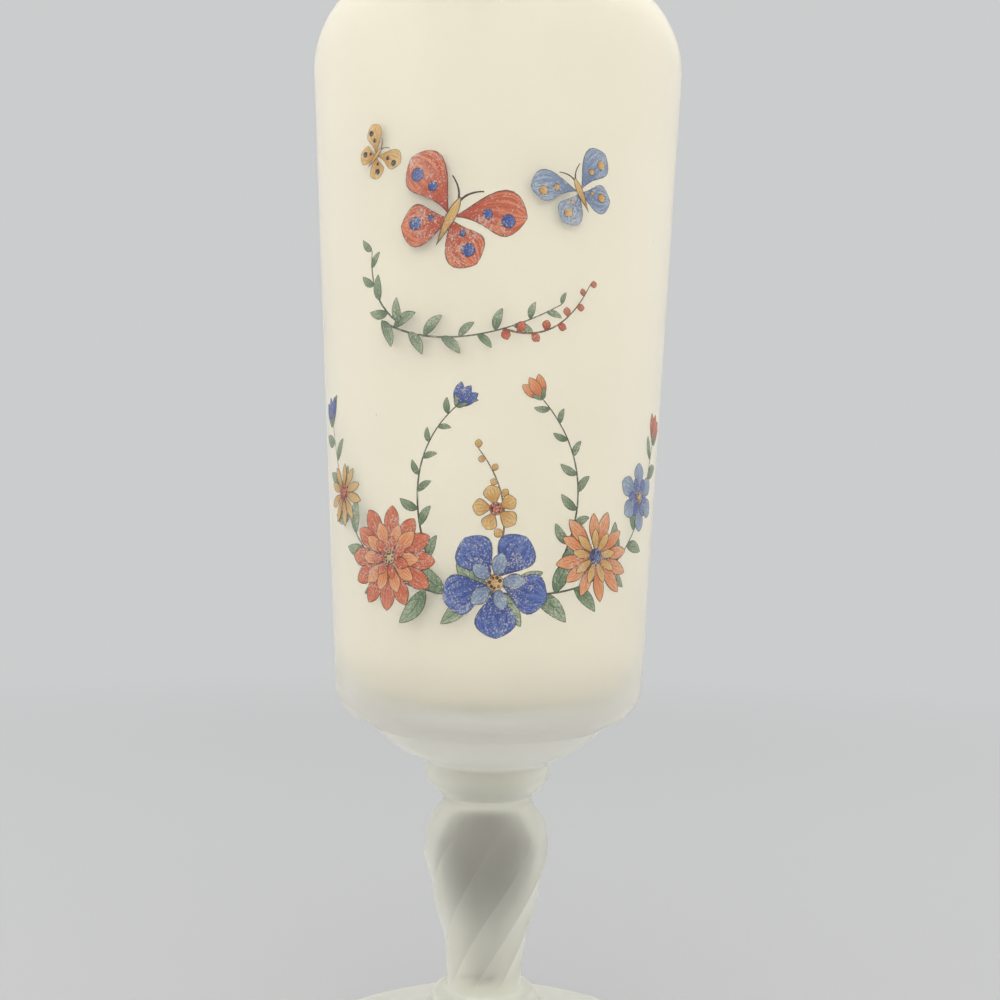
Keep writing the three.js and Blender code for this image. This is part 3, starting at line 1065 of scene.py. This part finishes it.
class Art:
    """Enamel flakes laid out flat: right and up in metres, and outward by their layer."""

    thickness: float = 0.05 * MM
    step: float = 0.004 * MM
    thinnest: float = 0.01 * MM
    blunt: float = 0.02 * MM
    fullness: float = 0.75
    petal_rows: int = 17
    dot_rows: int = 13
    stalk_rows: int = 33

    def __init__(self, name: str) -> None:
        """Starts an empty sheet under a name."""
        self.name, self.layer = name, 0
        self.shapes = bmesh.new()

    def flake(self, spine: np.ndarray, half: np.ndarray, pigment: Pigment, veined: float = 0.0,
              across: int = 6) -> Mesh:
        """Makes one closed flake along a line.

        Args:
            spine: The points of its middle line.
            half: Half its width at each point.
            pigment: Its enamel.
            veined: Whether it has the veins of a leaf, as 0 or 1.
            across: How many steps it has from side to side.

        Returns:
            The flake, with its place along and across, its distance from the edge and its enamel on it.
        """
        run = np.gradient(spine, axis=0)
        run /= np.linalg.norm(run, axis=1)[:, None]
        side = np.stack([-run[:, 1], run[:, 0]], 1)
        length = np.concatenate([[0.0], np.cumsum(np.linalg.norm(np.diff(spine, axis=0), axis=1))])
        v = np.linspace(-1, 1, across + 1)
        half = np.maximum(half, self.thinnest)
        flat = spine[:, None] + side[:, None] * (half[:, None] * v)[:, :, None]
        ends = np.minimum(length, length[-1] - length)[:, None]
        edge = np.minimum(half[:, None] * (1 - np.abs(v)), ends + self.blunt)
        count = edge.size
        points = np.zeros((2 * count, 3))
        points[:, :2] = np.tile(flat.reshape(-1, 2), (2, 1))
        points[count:, 2] = -self.thickness
        grid = np.arange(count).reshape(edge.shape)
        faces = []
        for below, above in zip(grid, grid[1:]):
            for quad in zip(below, above, above[1:], below[1:]):
                faces += [quad, tuple(count + n for n in quad[::-1])]
        rim = [*grid[0, :], *grid[1:, -1], *grid[-1, -2::-1], *grid[-2:0:-1, 0]]
        faces += [(a, b, count + b, count + a) for a, b in zip(rim, rim[1:] + rim[:1])]
        mesh = bpy.data.meshes.new(self.name)
        mesh.from_pydata(points.tolist(), [], [[int(n) for n in face] for face in faces])
        values = {"along": (length / length[-1])[:, None], "side": v, "edge": edge, "veined": veined}
        for name, numbers in values.items():
            keep(mesh, name, np.tile(np.broadcast_to(numbers, edge.shape).ravel(), 2))
        for name, tone in zip(("deep", "pale"), pigment.value):
            keep(mesh, name, np.tile((*tone, 1.0), 2 * count), "FLOAT_COLOR")
        return mesh

    def petal(self, length: float, width: float, pigment: Pigment, tip: float = 0.6, sway: float = 0.0,
              veined: float = 0.0) -> Mesh:
        """Makes a petal or a leaf that points right from its foot.

        Args:
            length: Its length.
            width: Its greatest width.
            pigment: Its enamel.
            tip: Where it is widest, as a share of its length.
            sway: How far its middle bends aside, as a share of its length.
            veined: Whether it has the veins of a leaf, as 0 or 1.

        Returns:
            The mesh.
        """
        t = (1 - np.cos(np.linspace(0, math.pi, self.petal_rows))) / 2
        spine = np.stack([t * length, np.sin(t * math.pi) * sway * length], 1)
        power = math.log(0.5) / math.log(tip)
        return self.flake(spine, np.sin(np.pi * t**power)**self.fullness * width / 2, pigment, veined)

    def dot(self, radius: float, pigment: Pigment) -> Mesh:
        """Makes a round dot about its middle."""
        t = np.linspace(-math.pi / 2, math.pi / 2, self.dot_rows)
        return self.flake(np.stack([np.sin(t) * radius, 0 * t], 1), np.cos(t) * radius, pigment)

    def stalk(self, start: Pair, pull: Pair, end: Pair, width: float, pigment: Pigment) -> Mesh:
        """Makes a thin stalk.

        Args:
            start: Where it starts.
            pull: The point that it curves towards.
            end: Where it ends.
            width: Its width.
            pigment: Its enamel.

        Returns:
            The mesh.
        """
        t = np.linspace(0, 1, self.stalk_rows)[:, None]
        a, b, c = (np.array(point) for point in (start, pull, end))
        return self.flake(a * (1 - t)**2 + b * 2 * t * (1 - t) + c * t**2,
                          width / 2 * (1.15 - 0.6 * t[:, 0]), pigment, across=2)

    def lay(self, mesh: Mesh, x: float = 0.0, y: float = 0.0, turn: float = 0.0, size: float = 1.0,
            mirrored: bool = False) -> None:
        """Lays a flake, or a few, on top of what is there.

        Args:
            mesh: The flakes.
            x: How far right of the middle they go.
            y: The height that they go to.
            turn: How far they turn to the left, in degrees.
            size: How much larger they become.
            mirrored: Whether they are mirrored first, top to bottom.
        """
        lifted = Matrix.Translation((x, y, self.layer * self.step))
        spun = Matrix.Rotation(math.radians(turn), 4, "Z")
        copy = mesh.copy()
        copy.transform(lifted @ spun @ Matrix.Diagonal((size, -size if mirrored else size, 1.0, 1.0)))
        if mirrored:
            copy.flip_normals()
        self.shapes.from_mesh(copy)
        self.layer += LIFTS

    def whole(self) -> Mesh:
        """All the flakes as one flat mesh."""
        mesh = bpy.data.meshes.new(self.name)
        self.shapes.to_mesh(mesh)
        self.shapes.free()
        return mesh


class ArtTrees:
    """The geometry trees of the prints: rings of petals, leafy twigs and the wrap round the body."""

    def __init__(self, finish: Material) -> None:
        """Builds the three trees, which set the given material."""
        self.finish = finish
        self.ring, self.twig, self.wrap = self.petal_ring(), self.leafy_twig(), self.wrap_round()

    def petal_ring(self) -> Tree:
        """The tree that sets copies of a petal in a ring, with small differences."""
        group = Group("petal_ring", GEOMETRY)
        petal, count, reach, first, play, seed, lift = group.takes({
            "Petal": None, "Count": 5, "Reach": 1 * MM, "First Angle": 0.0, "Play": 0.08, "Seed": 1,
            "Layer Step": 0.01 * MM})
        index, drawn = group.draw(seed)
        angle = group.times(group.math("DIVIDE", index, count), 2 * math.pi)
        angle = group.math("ADD", group.math("ADD", angle, first), group.times(drawn, play))
        place = group.spot(angle, reach, group.lift(index, lift))
        points = group.add("GeometryNodePoints", {"Count": count, "Position": place})
        size = group.math("ADD", 1.0, group.times(drawn, play))
        return group.close("Blossom", group.strew(points.outputs[0], petal, angle, size), self.finish)

    def leafy_twig(self) -> Tree:
        """The tree that sets leaves or berries along a curve, to the left and right in turn."""
        group = Group("leafy_twig", GEOMETRY)
        leaf, start, pull, end, count, lean, taper, seed, lift = group.takes({
            "Leaf": None, "Start": ORIGIN, "Pull": ORIGIN, "End": ORIGIN, "Count": 8, "Lean": 0.8,
            "Taper": 0.5, "Seed": 1, "Layer Step": 0.01 * MM})
        curve = group.add("GeometryNodeCurveQuadraticBezier", {
            "Resolution": 24, "Start": start, "Middle": pull, "End": end})
        points = group.add("GeometryNodeCurveToPoints", {"Curve": curve.outputs[0], "Count": count},
                           mode="COUNT")
        index, drawn = group.draw(seed)
        raised = group.add("GeometryNodeSetPosition", {
            "Geometry": points.outputs["Points"], "Offset": group.joined(z=group.lift(index, lift))})
        run = group.parts(points.outputs["Tangent"])
        hand = group.math("MULTIPLY_ADD", group.math("MODULO", index, 2.0), 2.0, -1.0)
        angle = group.math("MULTIPLY_ADD", hand, lean, group.math("ARCTAN2", run[1], run[0]))
        angle = group.math("MULTIPLY_ADD", drawn, 0.22, angle)
        shrunk = group.times(group.math("DIVIDE", index, count), taper)
        size = group.math("SUBTRACT", group.math("MULTIPLY_ADD", drawn, 0.12, 1.0), shrunk)
        return group.close("Twig", group.strew(raised.outputs[0], leaf, angle, size), self.finish)

    def wrap_round(self) -> Tree:
        """The tree that lays flat art on the tapered side of the body, its middle at the front."""
        group = Group("wrap_round", GEOMETRY)
        art, radius, foot, slope = group.takes({
            "Art": None, "Foot Radius": 0.0, "Foot Height": 0.0, "Slope": 0.0})
        across, height, out = group.position()
        skin = group.math("MULTIPLY_ADD", group.math("SUBTRACT", height, foot), slope, radius)
        angle = group.math("SUBTRACT", group.math("DIVIDE", across, skin), math.pi / 2)
        place = group.spot(angle, group.math("ADD", skin, out), height)
        moved = group.add("GeometryNodeSetPosition", {"Geometry": art, "Position": place})
        return group.close("Print", moved.outputs[0], self.finish)


@dataclass(frozen=True)
class FiredEnamel:
    """Thin fired enamel: tones that run along each petal, an ink outline, veins and worn specks."""

    name: str = "fired_enamel"
    ink: Colour = (0.045, 0.032, 0.03)
    line: float = 0.2 * MM
    tremble: float = 0.28 * MM
    wear: float = 0.6
    bare: Colour = (0.76, 0.72, 0.62)
    rubbed: Colour = (0.7, 0.68, 0.6)
    rub_share: float = 0.15
    ink_share: float = 0.88
    vein_share: float = 0.7
    roughness: float = 0.48
    mottling: float = 0.2
    pitting: Pair = (0.2, 0.05 * MM)
    streaks: Pair = (1.6, 7.0)
    rib: Pair = (0.03, 0.11)
    vein: Pair = (0.04, 0.11)
    vein_slant: float = -0.2
    veins: float = 6.5

    def veining(self, made: Surface, along: Socket, side: Socket) -> Socket:
        """The veins of a leaf: a middle rib and slanted veins on both sides of it.

        Args:
            made: The surface.
            along: The place along the leaf.
            side: The place across it.

        Returns:
            The socket of their strength.
        """
        wide = made.math("ABSOLUTE", side)
        rib = made.ramp(wide, *self.rib, 1.0, 0.0)
        slanted = made.math("MULTIPLY_ADD", wide, self.vein_slant, along)
        comb = made.math("SUBTRACT", made.math("FRACT", made.times(slanted, self.veins)), 0.5)
        return made.math("MAXIMUM", rib, made.ramp(made.math("ABSOLUTE", comb), *self.vein, 0.8, 0.0))

    def material(self, frosting: Frosting) -> Material:
        """Makes the material.

        Args:
            frosting: The groups for the grain and the marks of handling.

        Returns:
            The material.
        """
        made = Surface(self.name)
        place = made.place()
        marks = made.group(frosting.marks, {"Place": place})
        along, side, edge, veined = (made.attribute(name) for name in ("along", "side", "edge", "veined"))
        deep, pale = (made.attribute(name, "Color") for name in ("deep", "pale"))
        fine = made.noise(place, 2400.0, 2.0, 0.6)
        soft = made.noise(place, 420.0, 3.0, 0.6)
        share = made.ramp(made.math("MULTIPLY_ADD", soft, 0.5, along), 0.35, 1.2)
        streaks = made.joined(made.times(along, self.streaks[0]), made.times(side, self.streaks[1]), soft)
        streak = made.ramp(made.noise(streaks, 1.6, 1.0), 0.45, 0.6)
        colour = made.blend(made.times(share, made.math("MULTIPLY_ADD", streak, 0.75, 0.25)), deep, pale)
        wavy = made.math("MULTIPLY_ADD", made.math("SUBTRACT", soft, 0.5), self.tremble, edge)
        outline = made.ramp(wavy, self.line * 0.6, self.line * 1.3, 1.0, 0.0)
        veins = made.times(self.veining(made, along, side), veined, self.vein_share)
        colour = made.blend(made.math("MAXIMUM", veins, outline), colour, self.ink, self.ink_share)
        colour = made.blend(marks["Rub"], colour, self.rubbed, self.rub_share)
        worn = made.math("MULTIPLY_ADD", made.noise(place, 130.0), 0.3, fine)
        worn = made.ramp(made.math("MULTIPLY_ADD", soft, 0.35, worn), 0.86, 1.02)
        return made.finish({
            "Base Color": made.blend(worn, colour, self.bare, self.wear), "IOR": PLAIN_IOR,
            "Roughness": made.mottled(fine, self.roughness, self.mottling),
            "Alpha": made.math("SUBTRACT", 0.98, made.times(worn, 0.25), clamp=True),
            "Normal": made.bump(fine, *self.pitting)})


@dataclass
class Prints:
    """The enamel decoration: butterflies above and a garland of mixed blossoms below."""

    trees: ArtTrees
    body: Body
    lift: float = 0.02 * MM
    stalk_width: float = 0.42 * MM
    feeler_width: float = 0.4 * MM
    wing_spots: tuple[tuple, ...] = ((10.2, 1.25, 66), (6.6, 0.9, 58), (6.6, 1.2, 122), (3.6, 0.6, 114))

    def twig(self, art: Art, leaf: Mesh, start: Pair, pull: Pair, end: Pair, count: int, lean: float = 0.8,
             taper: float = 0.5, seed: int = 1, pigment: Pigment = Pigment.GREEN) -> None:
        """Lays a stalk with leaves or berries along it.

        Args:
            art: The sheet that it goes on.
            leaf: One leaf or berry.
            start: Where the stalk starts, in mm to the right and up.
            pull: The point that it curves towards.
            end: Where it ends.
            count: How many leaves it has.
            lean: How far they lean from it, in radians.
            taper: How much smaller they get towards its end.
            seed: The seed of their small differences.
            pigment: The stalk's enamel.
        """
        line = [tuple(MM * n for n in point) for point in (start, pull, end)]
        art.lay(art.stalk(*line, self.stalk_width, pigment))
        sizes = {name: (*point, 0.0) for name, point in zip(("Start", "Pull", "End"), line)}
        sizes |= {"Count": count, "Lean": lean, "Taper": taper, "Seed": seed, "Layer Step": art.step}
        art.lay(grow(leaf, self.trees.twig, sizes))

    def blossom(self, art: Art, place: Pair, rings: list[tuple], heart: Pigment, seed: int) -> None:
        """Lays a blossom of rings of petals round a dotted heart.

        Args:
            art: The sheet that it goes on.
            place: Its middle, in mm to the right and up.
            rings: For each ring its number of petals, their length and width in mm, enamel and widest place.
            heart: The enamel of its heart.
            seed: The seed of its small differences.
        """
        x, y = (MM * n for n in place)
        for turn, (count, length, width, pigment, tip) in enumerate(rings):
            petal = art.petal(length * MM, width * MM, pigment, tip)
            art.lay(grow(petal, self.trees.ring, {
                "Count": count, "Reach": length * 0.12 * MM, "First Angle": 0.4 * turn + 0.3 * seed,
                "Play": 0.09, "Seed": seed + turn, "Layer Step": art.step}), x, y)
        radius = rings[-1][1] * 0.32 * MM
        art.lay(art.dot(radius, heart), x, y)
        art.lay(grow(art.dot(radius * 0.2, Pigment.INK), self.trees.ring, {
            "Count": 7, "Reach": radius * 0.62, "First Angle": 0.2, "Play": 0.2, "Seed": seed,
            "Layer Step": art.step}), x, y)

    def bud(self, art: Art, place: Pair, turn: float, size: float, pigment: Pigment) -> None:
        """Lays a bell-shaped bud.

        Args:
            art: The sheet that it goes on.
            place: Its foot, in mm to the right and up.
            turn: The direction that it opens in, in degrees.
            size: Its size, where 1 is 8 mm long.
            pigment: Its enamel.
        """
        x, y = (MM * n for n in place)
        for lean in (24, -24, 0):
            art.lay(art.petal(8 * MM, 3.6 * MM, pigment, 0.55), x, y, turn + lean, size)
        for lean in (38, -38):
            art.lay(art.petal(4 * MM, 1.5 * MM, Pigment.GREEN, 0.4, veined=1.0), x, y, turn + lean, size)

    def butterfly(self, art: Art, place: Pair, turn: float, size: float, wing: Pigment,
                  spot: Pigment) -> None:
        """Lays a butterfly with open wings.

        Args:
            art: The sheet that it goes on.
            place: Its middle, in mm to the right and up.
            turn: The direction that its head points in, in degrees.
            size: Its size, where 1 is 26 mm across.
            wing: The enamel of its wings.
            spot: The enamel of the spots on them.
        """
        x, y = (MM * n for n in place)
        fore = art.petal(13.5 * MM, 8.2 * MM, wing, 0.72, -0.06)
        hind = art.petal(9.5 * MM, 7.6 * MM, wing, 0.66, 0.05)
        for mirrored, hand in ((False, 1), (True, -1)):
            art.lay(hind, x, y, turn + hand * 122, size, mirrored)
            art.lay(fore, x, y, turn + hand * 62, size, mirrored)
            for reach, radius, lean in self.wing_spots:
                at = away(x, y, turn + hand * lean, reach * MM * size)
                art.lay(art.dot(radius * MM, spot), *at, 0, size)
            tip = (6.6 * MM, hand * 3.2 * MM)
            feeler = art.stalk((2 * MM, 0.0), (5 * MM, 0.0), tip, self.feeler_width, Pigment.INK)
            art.lay(feeler, x, y, turn, size)
        tail = away(x, y, turn, -5.5 * MM * size)
        art.lay(art.petal(9.5 * MM, 1.9 * MM, Pigment.OCHRE, 0.62), *tail, turn, size)

    def upper(self) -> Art:
        """The upper print: three butterflies over two twigs of leaves and one of berries."""
        art = Art("enamel_butterflies")
        leaf = art.petal(6.2 * MM, 2.5 * MM, Pigment.GREEN, 0.45, 0.08, veined=1.0)
        berry = art.petal(2.6 * MM, 2.1 * MM, Pigment.RUST, 0.55)
        self.twig(art, leaf, (-27, 181), (-8, 170), (15, 184), 12, seed=3)
        self.twig(art, berry, (2, 178), (14, 174), (22, 189), 9, 0.9, 0.35, 5, Pigment.OCHRE)
        self.twig(art, leaf, (-22, 180), (-31, 186), (-30, 197), 6, 0.7, 0.5, 8)
        for butterfly in (((-10, 202), 62, 1.25, Pigment.RUST, Pigment.COBALT),
                          ((19, 209), 118, 0.85, Pigment.SLATE, Pigment.OCHRE),
                          ((-29, 218), 40, 0.55, Pigment.OCHRE, Pigment.INK)):
            art.layer = 0
            self.butterfly(art, *butterfly)
        return art

    def lower(self) -> Art:
        """The lower print: a hanging garland of unlike blossoms with buds, leaves and twigs."""
        art = Art("enamel_garland")
        leaf = art.petal(9.5 * MM, 3.9 * MM, Pigment.GREEN, 0.45, 0.07, veined=1.0)
        small = art.petal(5.2 * MM, 2.1 * MM, Pigment.GREEN, 0.45, 0.08, veined=1.0)
        berry = art.petal(2.4 * MM, 2.0 * MM, Pigment.OCHRE, 0.55)
        rust, orange, ochre = Pigment.RUST, Pigment.ORANGE, Pigment.OCHRE
        cobalt, slate = Pigment.COBALT, Pigment.SLATE
        self.twig(art, leaf, (0, 121), (-36, 116), (-48, 160), 15, 0.85, 0.35, 11)
        self.twig(art, leaf, (0, 121), (38, 116), (49, 157), 15, 0.85, 0.35, 12)
        self.twig(art, small, (-14, 128), (-22, 150), (-7, 162), 11, 0.8, 0.4, 13)
        self.twig(art, small, (16, 128), (26, 148), (10, 164), 11, 0.8, 0.4, 14)
        self.twig(art, berry, (2, 130), (5, 142), (-3, 152), 9, 0.9, 0.3, 15, ochre)
        above = art.layer
        for bud in (((-48, 159), 100, 0.9, cobalt), ((49, 156), 78, 0.95, rust),
                    ((-8, 161), 55, 0.7, cobalt), ((11, 163), 125, 0.7, orange)):
            art.layer = above
            self.bud(art, *bud)
        for blossom in (
                ((-41, 143), [(10, 6.6, 2.3, ochre, 0.6)], rust, 1),
                ((41, 143), [(6, 7.2, 4.6, slate, 0.66), (6, 4.2, 2.4, cobalt, 0.6)], ochre, 2),
                ((-24, 128), [(12, 10.4, 4.2, rust, 0.68), (10, 7.4, 3.3, orange, 0.64),
                              (7, 4.6, 2.5, rust, 0.6)], ochre, 5),
                ((25, 129), [(12, 9.2, 3.2, orange, 0.62), (9, 5.6, 2.2, ochre, 0.6)], cobalt, 4),
                ((1, 139), [(5, 4.6, 3.8, ochre, 0.66)], rust, 6)):
            art.layer = above
            self.blossom(art, *blossom)
        self.blossom(art, (1, 123), [(5, 10.2, 8.6, cobalt, 0.66), (5, 5.8, 3.4, slate, 0.6)], ochre, 3)
        return art

    def build(self) -> None:
        """Wraps both prints on the body."""
        lean = self.body.lean(self.body.heel)
        radius, foot = self.body.heel.touch(lean)
        for art in (self.upper(), self.lower()):
            wrapped = grow(art.whole(), self.trees.wrap, {
                "Foot Radius": radius + self.lift, "Foot Height": foot, "Slope": math.tan(lean)})
            made = piece(art.name, wrapped, [self.trees.finish])
            made.visible_transmission = False


@dataclass
class Studio:
    """The pale floor, the soft lamps, the world and the camera."""

    paper: Colour = (0.60, 0.605, 0.61)
    floor: Colour = (0.5, 0.505, 0.51)
    floor_reach: float = 6.0
    floor_depth: float = 5 * MM
    floor_fade: Pair = (0.22, 0.95)
    floor_grain: float = 0.97
    air: float = 0.05 * MM
    target: Vector = field(default_factory=lambda: Vector((0, 0, 0.15)))
    lens: float = 37.8
    distance: float = 268 * MM
    camera_height: float = 129 * MM
    pitch: float = math.radians(3.0)
    yaw: float = math.radians(0.46)
    roll: float = math.radians(0.86)

    def lamp(self, name: str, place: tuple, size: Pair, power: float,
             tint: Colour = (1.0, 0.99, 0.97)) -> None:
        """Hangs a soft lamp that faces the vase.

        Args:
            name: The lamp's name.
            place: Where it hangs.
            size: Its width and height.
            power: Its power in watts.
            tint: Its colour.
        """
        light = bpy.data.lights.new(name, "AREA")
        light.shape, light.size, light.size_y = "RECTANGLE", *size
        light.energy, light.color = power, tint
        made = put(name, light)
        made.location = place
        made.rotation_euler = (self.target - Vector(place)).to_track_quat("-Z", "Y").to_euler()
        made.visible_camera = False

    def backdrop(self) -> None:
        """Sets the world to an even pale light."""
        world = bpy.data.worlds.new("pale_room")
        world.use_nodes = True
        nodes = Nodes(world.node_tree)
        nodes.fill(nodes.tree.nodes["Background"], {"Color": rgba(self.paper), "Strength": 1.0})
        bpy.context.scene.world = world

    def table(self) -> None:
        """Lays the floor, which fades into the backdrop well away from the vase."""
        wide, low = self.floor_reach, -self.floor_depth
        mesh = lathe("floor", Profile(0, low).line(wide, low).line(wide, -self.air).line(0, -self.air), 96)
        made = Surface("floor_paper")
        place = made.place()
        reach = made.add("ShaderNodeVectorMath", {0: place}, operation="LENGTH").outputs["Value"]
        darker = tuple(self.floor_grain * c for c in self.floor)
        colour = made.blend(made.noise(place, 900.0, 3.0, 0.6), self.floor, darker)
        mesh.materials.append(made.finish({"Base Color": colour, "Roughness": 0.85}))
        glow = made.add("ShaderNodeEmission", {"Color": rgba(self.paper), "Strength": 1.0})
        both = made.add("ShaderNodeMixShader", {0: made.ramp(reach, *self.floor_fade),
                                                1: made.shader.outputs[0], 2: glow.outputs[0]})
        made.fill(made.tree.nodes["Material Output"], {0: both.outputs[0]})
        floor = put("floor", mesh)

    def camera(self) -> None:
        """Puts the camera where the photograph was taken from."""
        lens = bpy.data.cameras.new("camera")
        lens.lens, lens.sensor_width, lens.clip_start = self.lens, 36.0, 0.01
        made = put("camera", lens)
        flat = math.cos(self.pitch)
        ahead = Vector((math.sin(self.yaw) * flat, math.cos(self.yaw) * flat, math.sin(self.pitch)))
        level = ahead.cross(Vector((0, 0, 1))).normalized()
        upright = level.cross(ahead)
        right = level * math.cos(self.roll) + upright * math.sin(self.roll)
        up = upright * math.cos(self.roll) - level * math.sin(self.roll)
        turn = Matrix((right, up, -ahead)).transposed()
        made.matrix_world = Matrix.Translation((0, -self.distance, self.camera_height)) @ turn.to_4x4()
        bpy.context.scene.camera = made

    def build(self) -> None:
        """Sets up the whole studio."""
        bpy.context.scene.view_settings.view_transform = "Standard"
        self.camera()
        self.backdrop()
        self.table()
        self.lamp("top_softbox", (0.0, 0.1, 1.1), (1.0, 1.0), 1.9, (1.0, 0.98, 0.95))
        self.lamp("left_softbox", (-1.0, 0.2, 0.62), (1.4, 1.2), 4.3)
        self.lamp("right_softbox", (1.0, 0.2, 0.62), (1.4, 1.2), 4.6)
        self.lamp("front_softbox", (-0.06, -0.8, 0.68), (3.2, 1.4), 12.5)
        log.info("studio ready")


def main() -> None:
    """Builds the studio and the vase, from the table up."""
    logging.basicConfig(level=logging.INFO, format="%(name)s: %(message)s")
    Studio().build()
    frosting = Frosting(etched_grain(), handling_marks())
    satin, foot_shaded, swirled, clear, lip = (glass.material(frosting) for glass in (
        SatinGlass("satin_glass", (0.95, 0.95, 0.87), (0.92, 0.92, 0.84), transmission=0.68, sheen=0.6),
        # A darker copy of the satin glass, for the foot and hub: painted shade.
        SatinGlass("foot_glass", (0.9, 0.9, 0.82), (0.87, 0.87, 0.79), transmission=0.6),
        # The swirled glass carries painted shade across its flutes.
        SatinGlass("swirled_glass", (0.96, 0.95, 0.83), (0.93, 0.92, 0.80), transmission=0.76,
                   roughness=0.42, sheen=0.75, fluted=0.3),
        SatinGlass("casing_glass", (0.96, 0.955, 0.905), (0.935, 0.93, 0.88), transmission=0.85,
                   roughness=0.5, ior=1.22, sheen=0.36),
        # A darker, less clear copy of the casing glass, for the lip: painted shade.
        SatinGlass("lip_glass", (0.85, 0.84, 0.77), (0.82, 0.81, 0.74), transmission=0.45,
                   roughness=0.5, ior=1.22)))
    opal = OpalGlass("opal_glass", (0.95, 0.89, 0.745), (0.92, 0.855, 0.70)).material(frosting)
    melted = MeltedJoint().material()
    Foot().build([foot_shaded, melted])
    Stem().build([swirled, melted])
    Joint().build([satin, melted])
    body = Body()
    body.build([clear, melted, lip], opal)
    Prints(ArtTrees(FiredEnamel().material(frosting)), body).build()
    log.info("vase complete")


if __name__ == "__main__":
    main()
